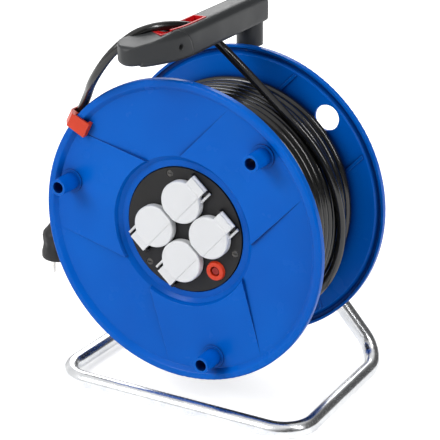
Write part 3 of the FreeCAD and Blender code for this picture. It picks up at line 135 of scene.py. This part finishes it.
def blend_colours(tree, share, first, second):
    """A mix of two colours, each a tuple or another node's output."""
    node = tree.nodes.new("ShaderNodeMix")
    node.data_type = "RGBA"
    tree.links.new(share, node.inputs[MIX_SHARE])
    for socket, colour in zip(MIX_COLOURS, (first, second)):
        if isinstance(colour, tuple):
            node.inputs[socket].default_value = (*colour, 1.0)
        else:
            tree.links.new(colour, node.inputs[socket])
    return node.outputs[MIX_COLOUR]


def edge_share(tree, rounding):
    """Normals rounded at the edges, and how much of an edge each point is."""
    bevel = tree.nodes.new("ShaderNodeBevel")
    bevel.samples = BEVEL_SAMPLES
    bevel.inputs["Radius"].default_value = rounding
    geometry = tree.nodes.new("ShaderNodeNewGeometry")
    dot = tree.nodes.new("ShaderNodeVectorMath")
    dot.operation = "DOT_PRODUCT"
    tree.links.new(bevel.outputs["Normal"], dot.inputs[0])
    tree.links.new(geometry.outputs["Normal"], dot.inputs[1])
    return bevel.outputs["Normal"], ramp(tree, dot.outputs["Value"], FLAT_DOT, EDGE_DOT)


def bump(tree, height, depth, strength, normal=None):
    """Normals tilted by a height, over other normals where they are given."""
    node = tree.nodes.new("ShaderNodeBump")
    node.inputs["Strength"].default_value = strength
    node.inputs["Distance"].default_value = depth
    tree.links.new(height, node.inputs["Height"])
    if normal is not None:
        tree.links.new(normal, node.inputs["Normal"])
    return node.outputs["Normal"]


HOLLOW_REACH = 0.014
HOLLOW_SAMPLES = 8


def openness(tree):
    """How open each point's surroundings are, from 0 in a hollow to 1 in the open."""
    node = tree.nodes.new("ShaderNodeAmbientOcclusion")
    node.samples = HOLLOW_SAMPLES
    node.inputs["Distance"].default_value = HOLLOW_REACH
    return ramp(tree, node.outputs["AO"], 0.35, 0.92)


# Scales of the noise in the finishes, in features to the metre.
CLOUD_SCALE = 9.0
EDGE_PATCH_SCALE = 130.0
SMEAR_SCALE = 34.0
DUST_SCALE = 60.0
JACKET_SMEAR_SCALE = 220.0
MARK_SCALE = 700.0

MARK_DEPTH = 0.00003


def moulded(name, colour, shade, edge_wear_and_highlight, roughness, grain, depth, rounding=0.0005, gloss=0.3,
            hollow=None):
    """Moulded plastic: slow shade changes, a surface grain, and lighter edges of wear and
    painted highlight.

    Where a colour for hollows is given, it replaces the base in them as painted shade.
    """
    material, tree, shader, place = new_material(name)
    normal, edge = edge_share(tree, rounding)
    cloud = ramp(tree, noise(tree, place, CLOUD_SCALE, 2.0), 0.35, 0.65)
    base = blend_colours(tree, cloud, colour, shade)
    # The lighter edge colour is partly wear and partly a painted highlight along rims and
    # creases.
    wear_and_highlight_patches = ramp(tree, noise(tree, place, EDGE_PATCH_SCALE, 4.0), 0.4, 0.7)
    wear_and_highlight_share = combine(tree, "MULTIPLY", edge, wear_and_highlight_patches)
    base = blend_colours(tree, wear_and_highlight_share, base, edge_wear_and_highlight)
    # Painted shade: the hollow colour darkens the base where the ambient occlusion finds a
    # hollow.
    if hollow:
        base = blend_colours(tree, openness(tree), hollow, base)
    tree.links.new(base, shader.inputs["Base Color"])
    smear = noise(tree, place, SMEAR_SCALE, 4.0)
    tree.links.new(ramp(tree, smear, 0.3, 0.7, roughness * 0.85, roughness * 1.2),
                   shader.inputs["Roughness"])
    shader.inputs["Specular IOR Level"].default_value = gloss
    fine = noise(tree, place, grain, 2.0)
    tree.links.new(bump(tree, fine, depth, 0.6, normal), shader.inputs["Normal"])
    return material


METAL_ROUNDING = 0.0003


def metal(name, colour, shade, roughness, mottle, drawn=None):
    """Plated metal with mottled brightness and fine marks along the way it was drawn."""
    material, tree, shader, place = new_material(name)
    normal, _ = edge_share(tree, METAL_ROUNDING)
    patches = ramp(tree, noise(tree, place, mottle, 5.0), 0.35, 0.68)
    tree.links.new(blend_colours(tree, patches, colour, shade), shader.inputs["Base Color"])
    shader.inputs["Metallic"].default_value = 1.0
    marks = noise(tree, place, MARK_SCALE, 3.0, drawn)
    tree.links.new(ramp(tree, marks, 0.3, 0.7, roughness * 0.7, roughness * 1.35),
                   shader.inputs["Roughness"])
    tree.links.new(bump(tree, marks, MARK_DEPTH, 0.5, normal), shader.inputs["Normal"])
    return material


def rubber(name, colour, shade, roughness, grain, depth, gloss):
    """Black cord jacket or moulded rubber, slightly dusty."""
    material, tree, shader, place = new_material(name)
    dust = ramp(tree, noise(tree, place, DUST_SCALE, 5.0), 0.45, 0.75)
    tree.links.new(blend_colours(tree, dust, colour, shade), shader.inputs["Base Color"])
    smear = noise(tree, place, JACKET_SMEAR_SCALE, 3.0)
    tree.links.new(ramp(tree, smear, 0.3, 0.7, roughness * 0.8, roughness * 1.25),
                   shader.inputs["Roughness"])
    shader.inputs["Specular IOR Level"].default_value = gloss
    tree.links.new(bump(tree, noise(tree, place, grain, 3.0), depth, 0.5),
                   shader.inputs["Normal"])
    return material


# The blue's hollow colour is painted shade, laid into its recesses and bores by ambient
# occlusion.
BLUE = moulded("blue_plastic", (0.0, 0.098, 0.50), (0.0, 0.118, 0.56), (0.05, 0.26, 0.86),
               roughness=0.24, grain=420.0, depth=0.00002, rounding=0.0009, gloss=0.09,
               hollow=(0.0, 0.018, 0.14))
WHITE = moulded("white_plastic", (0.74, 0.75, 0.765), (0.72, 0.73, 0.745), (0.93, 0.93, 0.93),
                roughness=0.34, grain=900.0, depth=0.00002, rounding=0.0012)
BLACK = moulded("black_plastic", (0.013, 0.013, 0.015), (0.020, 0.019, 0.018),
                (0.05, 0.05, 0.05), roughness=0.5, grain=1500.0, depth=0.0001, gloss=0.2)
RED = moulded("red_plastic", (0.64, 0.045, 0.012), (0.58, 0.036, 0.008), (0.85, 0.18, 0.11),
              roughness=0.36, grain=700.0, depth=0.00003, rounding=0.0007)
DEEP_RED = moulded("deep_red_plastic", (0.30, 0.012, 0.008), (0.22, 0.01, 0.008),
                   (0.5, 0.05, 0.03), roughness=0.4, grain=700.0, depth=0.00003)
GUIDE_RED = moulded("guide_red_plastic", (0.62, 0.008, 0.012), (0.55, 0.008, 0.012),
                    (0.8, 0.08, 0.07), roughness=0.33, grain=700.0, depth=0.00003)
GREY = moulded("grey_plastic", (0.030, 0.032, 0.034), (0.038, 0.040, 0.042),
               (0.12, 0.12, 0.12), roughness=0.36, grain=1300.0, depth=0.00006,
               rounding=0.0025, gloss=0.2)
CUTOUT = moulded("cutout_plastic", (0.03, 0.025, 0.02), (0.045, 0.035, 0.026),
                 (0.1, 0.08, 0.06), roughness=0.45, grain=900.0, depth=0.00004)
BUSH = moulded("bearing_plastic", (0.55, 0.53, 0.47), (0.5, 0.48, 0.42), (0.7, 0.68, 0.62),
               roughness=0.4, grain=800.0, depth=0.00003)
CORD = rubber("cord_jacket", (0.006, 0.006, 0.006), (0.011, 0.011, 0.010), roughness=0.19,
              grain=900.0, depth=0.00002, gloss=0.55)
PLUG = rubber("plug_rubber", (0.011, 0.011, 0.012), (0.018, 0.018, 0.018), roughness=0.5,
              grain=1500.0, depth=0.00006, gloss=0.3)
TUBE = metal("zinc_tube", (0.77, 0.78, 0.79), (0.60, 0.61, 0.63), roughness=0.22, mottle=55.0)
PLATE = metal("zinc_plate", (0.70, 0.71, 0.72), (0.56, 0.57, 0.60), roughness=0.3,
              mottle=90.0, drawn=(1, 1, 0.1))
ZINC = metal("zinc_fastener", (0.74, 0.75, 0.76), (0.62, 0.62, 0.6), roughness=0.26,
             mottle=160.0)
DARK_SCREW = metal("dark_screw", (0.05, 0.05, 0.05), (0.09, 0.085, 0.08), roughness=0.4,
                   mottle=300.0)
SPRING = metal("spring_steel", (0.38, 0.38, 0.39), (0.28, 0.27, 0.27), roughness=0.32,
               mottle=220.0)
BRASS = metal("brass_contact", (0.80, 0.62, 0.30), (0.68, 0.50, 0.22), roughness=0.28,
              mottle=140.0)
NICKEL = metal("nickel_pin", (0.78, 0.76, 0.72), (0.70, 0.68, 0.64), roughness=0.18,
               mottle=120.0)

FINISHES = {
    BLUE: ["front_drum_half", "rear_drum_half"],
    WHITE: ["lid_top", "lid_right", "lid_bottom", "lid_left"],
    BLACK: ["socket_plate", "socket_insert_top", "socket_insert_right",
            "socket_insert_bottom", "socket_insert_left", "terminal_block"],
    RED: ["reset_collar", "cable_clip"],
    DEEP_RED: ["reset_button"],
    GUIDE_RED: ["cable_guide_insert"],
    GREY: ["handle_grip", "guide_arm"],
    CUTOUT: ["thermal_cutout", "tail_clamp"],
    BUSH: ["bearing_bush"],
    CORD: ["inner_tail"],
    TUBE: ["frame_tube"],
    PLATE: ["hub_plate", "clamp_plate"],
    ZINC: ["clamp_bolts", "clamp_nuts", "drum_screws", "axle_pin", "axle_washer",
           "post_screw"],
    DARK_SCREW: ["plate_screws", "guide_arm_screw"],
    SPRING: ["lid_pins", "axle_circlip"],
    BRASS: ["live_bar", "neutral_bar", "earth_clips"],
    NICKEL: ["plug_pins"],
}


def finish_node(node, material):
    """Give a CAD node one material all over."""
    mesh = node.data
    mesh.materials.clear()
    mesh.materials.append(material)
    mesh.polygons.foreach_set("material_index", [0] * len(mesh.polygons))


for finish_material, names in FINISHES.items():
    for node_name in names:
        finish_node(NODES[node_name], finish_material)


# Cord


def link(name, data, material):
    """A new object in the scene, of one material."""
    obj = bpy.data.objects.new(name, data)
    data.materials.append(material)
    bpy.context.scene.collection.objects.link(obj)
    return obj


TUBE_ROUNDNESS = 5


def cord_curve(name, points, resolution):
    """A cord on one open NURBS spline, from control points about the axle."""
    curve = bpy.data.curves.new(name, "CURVE")
    curve.dimensions = "3D"
    curve.bevel_depth = CORD_RADIUS / 1000
    curve.bevel_resolution = TUBE_ROUNDNESS
    curve.use_fill_caps = True
    curve.resolution_u = resolution
    spline = curve.splines.new("NURBS")
    spline.points.add(len(points) - 1)
    for spot, point in zip(spline.points, points):
        spot.co = (*at(*point), 1.0)
    spline.order_u = 3
    spline.use_endpoint_u = True
    return link(name, curve, CORD)


LEAD_RADIUS = 119.8
LEAD_Y = 15.0
LEAD_STUB = 9.0
UNDER_GRIP = Vector((-9.8, 28.5, 152.7))
CLIP_ANGLE = math.radians(141.3)
CLIP_CORD = round_axle(146.6, CLIP_ANGLE, -55.6)
CLIP_SLOPE = 0.2
CLIP_WAY = (Vector((-math.sin(CLIP_ANGLE), 0, math.cos(CLIP_ANGLE)))
            - round_axle(CLIP_SLOPE, CLIP_ANGLE))
BEFORE_CLIP = 20.0
AFTER_CLIP = 24.0
PLUG_X = -158.5
PLUG_Y = -29.5
PLUMB_FROM = 33.0
LEAD_END = -3.0

# The cord leaves the winding on the line that touches it and passes under the grip.
reach = math.hypot(UNDER_GRIP.x, UNDER_GRIP.z)
LEAVE_ANGLE = math.atan2(UNDER_GRIP.z, UNDER_GRIP.x) - math.acos(LEAD_RADIUS / reach)
LEAVE = round_axle(LEAD_RADIUS, LEAVE_ANGLE, LEAD_Y)
LEAD_WAY = (UNDER_GRIP - LEAVE).normalized()
LEAD_START = LEAVE + LEAD_WAY * LEAD_STUB
LEAD_ROUTE = [
    LEAD_START,
    UNDER_GRIP,
    Vector((-4, -29.5, 187)),
    Vector((-28, -74, 192.5)),
    Vector((-52, -90, 172.5)),
    Vector((-77.5, -87.5, 139.5)),
    CLIP_CORD - CLIP_WAY * BEFORE_CLIP,
    CLIP_CORD + CLIP_WAY * AFTER_CLIP,
    Vector((PLUG_X, PLUG_Y, PLUMB_FROM)),
    Vector((PLUG_X, PLUG_Y, LEAD_END)),
]

# The winding moves along the axle by a step at every half turn.
WINDING_RADIUS = 110.6
WINDING_EDGE = 55.0
EVEN_STEP = 4.55
EVEN_STEPS = 21
LAST_STEPS = (5.0, 5.4)
WIDE_STEPS = (7, 8)
CALM_END = 4
SWAY = 0.35
SPOTS = 12
CHORD = 2 / (1 + math.cos(math.pi / (2 * SPOTS)) ** 2)

# Straight runs between a spline's points.
WOUND_RUNS = 4
LEAD_RUNS = 16


def winding_stations():
    """Radius and y of the outer layer at every half turn, from its start to the lead."""
    steps = [EVEN_STEP] * EVEN_STEPS + [*LAST_STEPS]
    for index in WIDE_STEPS:
        steps[index] = 0
    wide = (2 * WINDING_EDGE - sum(steps)) / len(WIDE_STEPS)
    for index in WIDE_STEPS:
        steps[index] = wide
    stations = [(WINDING_RADIUS, -WINDING_EDGE)]
    for step in steps:
        stations.append((WINDING_RADIUS, stations[-1][1] + step))
    return stations + [(LEAD_RADIUS, WINDING_EDGE), (LEAD_RADIUS, LEAD_Y)]


def slope_at(values, index):
    """The smaller of the steps before and after a station, or none where they reverse."""
    before = values[index] - values[max(index - 1, 0)]
    after = values[min(index + 1, len(values) - 1)] - values[index]
    return min(before, after, key=abs) if before * after > 0 else 0.0


def between(values, index, share):
    """A smooth value between two stations."""
    first, last = values[index], values[index + 1]
    start, end = slope_at(values, index), slope_at(values, index + 1)
    square, cube = share * share, share ** 3
    return (first * (2 * cube - 3 * square + 1) + start * (cube - 2 * square + share)
            + last * (3 * square - 2 * cube) + end * (cube - square))


def wound(stations, end_angle, drift=0.0):
    """Control points of turns through the stations, which lie half a turn apart."""
    radii = [radius for radius, _ in stations]
    rows = [y for _, y in stations]
    last = len(stations) - 1
    points = []
    for step in range(last * SPOTS + 1):
        index = min(step // SPOTS, last - 1)
        share = step / SPOTS - index
        angle = end_angle - math.pi * (last - step / SPOTS)
        sway = drift * (math.sin(2 * angle + 0.7) + 0.5 * math.sin(3 * angle + 2.1))
        sway *= min(1.0, step / SPOTS, max(0.0, last - CALM_END - step / SPOTS))
        radius = between(radii, index, share) * CHORD
        points.append(round_axle(radius, angle, between(rows, index, share) + sway))
    return points


winding_points = wound(winding_stations(), LEAVE_ANGLE, SWAY)
winding_points[-1] = LEAVE
winding = cord_curve("winding", winding_points + [LEAD_START], WOUND_RUNS)
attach(winding, "drum")
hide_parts("cord_winding")

lead = cord_curve("lead", LEAD_ROUTE, LEAD_RUNS)
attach(lead, "stand")
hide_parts("cord_lead")

# The layers below show between the outer turns.
UNDER_RADIUS = 101.6
UNDER_START = 52.6
UNDER_STEP = 4.4
UNDER_STATIONS = 24
UNDER_END = math.radians(205)
under_stations = [(UNDER_RADIUS, UNDER_START - UNDER_STEP * half)
                  for half in range(UNDER_STATIONS)]
under = cord_curve("under_layer", wound(under_stations, UNDER_END), WOUND_RUNS)
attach(under, "drum")


JOIN_REACH = 0.000001


def lathe(name, profile, centre, material, segments=96, wave=None):
    """A solid of revolution along Y or Z from (radius, height) pairs.

    The points that the profile's ends share on the axis are joined.
    """
    verts = []
    faces = []
    count = len(profile)
    for turn in range(segments):
        angle = 2 * math.pi * turn / segments
        for radius, height in profile:
            grown = radius * (wave(angle, height) if wave else 1.0)
            verts.append(centre(grown * math.cos(angle), grown * math.sin(angle), height))
    for turn in range(segments):
        following = (turn + 1) % segments
        for row in range(count - 1):
            faces.append((turn * count + row, following * count + row,
                          following * count + row + 1, turn * count + row + 1))
    mesh = bpy.data.meshes.new(name)
    mesh.from_pydata(verts, [], faces)
    solid = bmesh.new()
    solid.from_mesh(mesh)
    bmesh.ops.remove_doubles(solid, verts=solid.verts, dist=JOIN_REACH)
    solid.to_mesh(mesh)
    solid.free()
    mesh.polygons.foreach_set("use_smooth", [True] * len(mesh.polygons))
    return link(name, mesh, material)


def about_axle(across, up, height):
    """A point of a turned shape that lies along the axle."""
    return at(across, height, up)


# Strands side by side, each with an arc of its surface showing.
LOWER_RADIUS = 93.2
LOWER_BORE = 72.4
LOWER_HALF = 57.4
STRANDS = 13
FIRST_STRAND = -52.8
STRAND_STEP = 8.8
ARC_RUNS = 6
ARC_START = 0.08
ARC_SHARE = 0.84
scallops = []
for strand in range(STRANDS):
    middle = FIRST_STRAND + STRAND_STEP * strand
    for part in range(ARC_RUNS + 1):
        turn = math.pi * (ARC_START + ARC_SHARE * part / ARC_RUNS)
        scallops.append((LOWER_RADIUS + CORD_RADIUS * math.sin(turn),
                         middle - CORD_RADIUS * math.cos(turn)))
lower_profile = [(LOWER_BORE, -LOWER_HALF), *scallops, (LOWER_BORE, LOWER_HALF),
                 (LOWER_BORE, -LOWER_HALF)]
lower = lathe("lower_layers", lower_profile, about_axle, CORD)
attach(lower, "drum")
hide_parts("cord_core")


# Plug


def about_plug(across, away, height):
    """A point at a height from the top of the strain relief."""
    return at(PLUG_X + across, PLUG_Y + away, LEAD_END + height)


RELIEF_RINGS = 6
RELIEF_SIDES = 48
RING_TOP = -2.5
RING_STEP = 4.1
RING_RADIUS = 6.3
RING_GROWTH = 0.34
RELIEF_BORE = 4.3
RELIEF_FOOT = -26.9
RELIEF = [(5.6, 0.0)]
for ring in range(RELIEF_RINGS):
    top = RING_TOP - RING_STEP * ring
    widest = RING_RADIUS + RING_GROWTH * ring
    RELIEF += [(widest - 0.9, top), (widest, top - 0.5), (widest + 0.1, top - 2.3),
               (widest - 0.9, top - 2.9)]
RELIEF += [(8.0, RELIEF_FOOT), (RELIEF_BORE, RELIEF_FOOT), (RELIEF_BORE, 0.0), (5.6, 0.0)]
relief = lathe("strain_relief", RELIEF, about_plug, PLUG, RELIEF_SIDES)
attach(relief, "stand")
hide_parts("plug_strain_relief")

PLUG_PROFILE = [
    (0.0, -27.0), (8.2, -27.0), (9.0, -27.4), (9.4, -28.6), (10.2, -31.0), (12.4, -34.0),
    (15.0, -36.8), (16.8, -39.2), (17.5, -41.6), (17.3, -45.0), (16.9, -49.0),
    (17.2, -53.0), (18.0, -56.5), (18.4, -59.0), (18.5, -62.0), (18.4, -64.2),
    (17.8, -65.0), (14.6, -65.0), (14.2, -64.6), (0.0, -64.6),
]


PLUG_SIDES = 144
FLUTES = 12
FLUTE_DEPTH = 0.035
WAIST = -48.0
WAIST_REACH = 11.0


def fluted(angle, height):
    """Shallow finger flutes round the plug's waist."""
    waist = max(0.0, 1 - abs(height - WAIST) / WAIST_REACH)
    return 1 - FLUTE_DEPTH * waist * (0.5 + 0.5 * math.cos(FLUTES * angle))


plug = lathe("plug", PLUG_PROFILE, about_plug, PLUG, PLUG_SIDES, fluted)
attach(plug, "stand")
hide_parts("plug_body")


# Floor, light and background

WHITE_COLOUR = (1.0, 1.0, 1.0, 1.0)


def seen_by(tree, *kinds):
    """1 for rays of the named kinds and 0 for the rest."""
    path = tree.nodes.new("ShaderNodeLightPath")
    seen = path.outputs[kinds[0]]
    for kind in kinds[1:]:
        seen = combine(tree, "MAXIMUM", seen, path.outputs[kind])
    return seen


# Reflections show a studio that is white at the upper left and dim elsewhere.
AMBIENT = 0.34
DIM = 0.12
WHITE_SIDE = (-0.6, -0.2, 0.77)
DIM_UP_TO = 0.2
WHITE_FROM = 0.6

world = bpy.data.worlds.new("studio")
world.use_nodes = True
bpy.context.scene.world = world
world_tree = world.node_tree
sky = world_tree.nodes["Background"]
sky.inputs["Color"].default_value = WHITE_COLOUR
towards = world_tree.nodes.new("ShaderNodeVectorMath")
towards.operation = "DOT_PRODUCT"
way = world_tree.nodes.new("ShaderNodeTexCoord").outputs["Generated"]
world_tree.links.new(way, towards.inputs[0])
towards.inputs[1].default_value = WHITE_SIDE
room = ramp(world_tree, towards.outputs["Value"], DIM_UP_TO, WHITE_FROM, DIM, 1.0)
plain = seen_by(world_tree, "Is Camera Ray", "Is Transmission Ray")
lit = ramp(world_tree, plain, 0.0, 1.0, AMBIENT, 1.0)
strength = world_tree.nodes.new("ShaderNodeMix")
world_tree.links.new(seen_by(world_tree, "Is Glossy Ray"), strength.inputs[MIX_SHARE])
for socket, value in zip(MIX_VALUES, (lit, room)):
    world_tree.links.new(value, strength.inputs[socket])
world_tree.links.new(strength.outputs[MIX_VALUE], sky.inputs["Strength"])


LAMP_AIM = Vector((0.0, 0.0, 0.17))


def soft_box(name, place, size, power):
    """A rectangular lamp that points at the middle of the reel."""
    data = bpy.data.lights.new(name, "AREA")
    data.shape = "RECTANGLE"
    data.size, data.size_y = size
    data.energy = power
    box = bpy.data.objects.new(name, data)
    box.location = place
    box.rotation_euler = (LAMP_AIM - Vector(place)).to_track_quat("-Z", "Y").to_euler()
    bpy.context.scene.collection.objects.link(box)


soft_box("key", place=(-0.9, -1.6, 1.4), size=(0.9, 0.9), power=26.0)
soft_box("back", place=(-0.95, 1.7, 1.4), size=(1.4, 1.2), power=20.0)
soft_box("side", place=(1.4, -0.35, 1.35), size=(0.16, 1.2), power=14.0)

# The floor glows for the camera, in reflections and through glass alone. The glow grows
# away from the lamps, so that the floor stays white to its edge.
FLOOR_SIDE = 6.0
FLOOR_DROP = 0.0003
FLOOR_COLOUR = (0.93, 0.93, 0.93, 1.0)
FLOOR_ROUGHNESS = 0.7
FLOOR_GLOW = 0.56
GLOW_NEAR = 0.7
GLOW_FAR = 2.2

floor_mesh = bpy.data.meshes.new("floor")
floor_mesh.from_pydata([(-FLOOR_SIDE, -FLOOR_SIDE, 0), (FLOOR_SIDE, -FLOOR_SIDE, 0),
                        (FLOOR_SIDE, FLOOR_SIDE, 0), (-FLOOR_SIDE, FLOOR_SIDE, 0)],
                       [], [(0, 1, 2, 3)])
floor_material, floor_tree, floor_shader, floor_place = new_material("floor")
floor_shader.inputs["Base Color"].default_value = FLOOR_COLOUR
floor_shader.inputs["Roughness"].default_value = FLOOR_ROUGHNESS
floor_shader.inputs["Emission Color"].default_value = WHITE_COLOUR
distance = floor_tree.nodes.new("ShaderNodeVectorMath")
distance.operation = "LENGTH"
floor_tree.links.new(floor_place, distance.inputs[0])
glow = ramp(floor_tree, distance.outputs["Value"], GLOW_NEAR, GLOW_FAR, FLOOR_GLOW, 1.0)
floor_seen = seen_by(floor_tree, "Is Camera Ray", "Is Glossy Ray", "Is Transmission Ray")
floor_tree.links.new(combine(floor_tree, "MULTIPLY", floor_seen, glow),
                     floor_shader.inputs["Emission Strength"])
floor = link("floor", floor_mesh, floor_material)
floor.location.z = -FLOOR_DROP
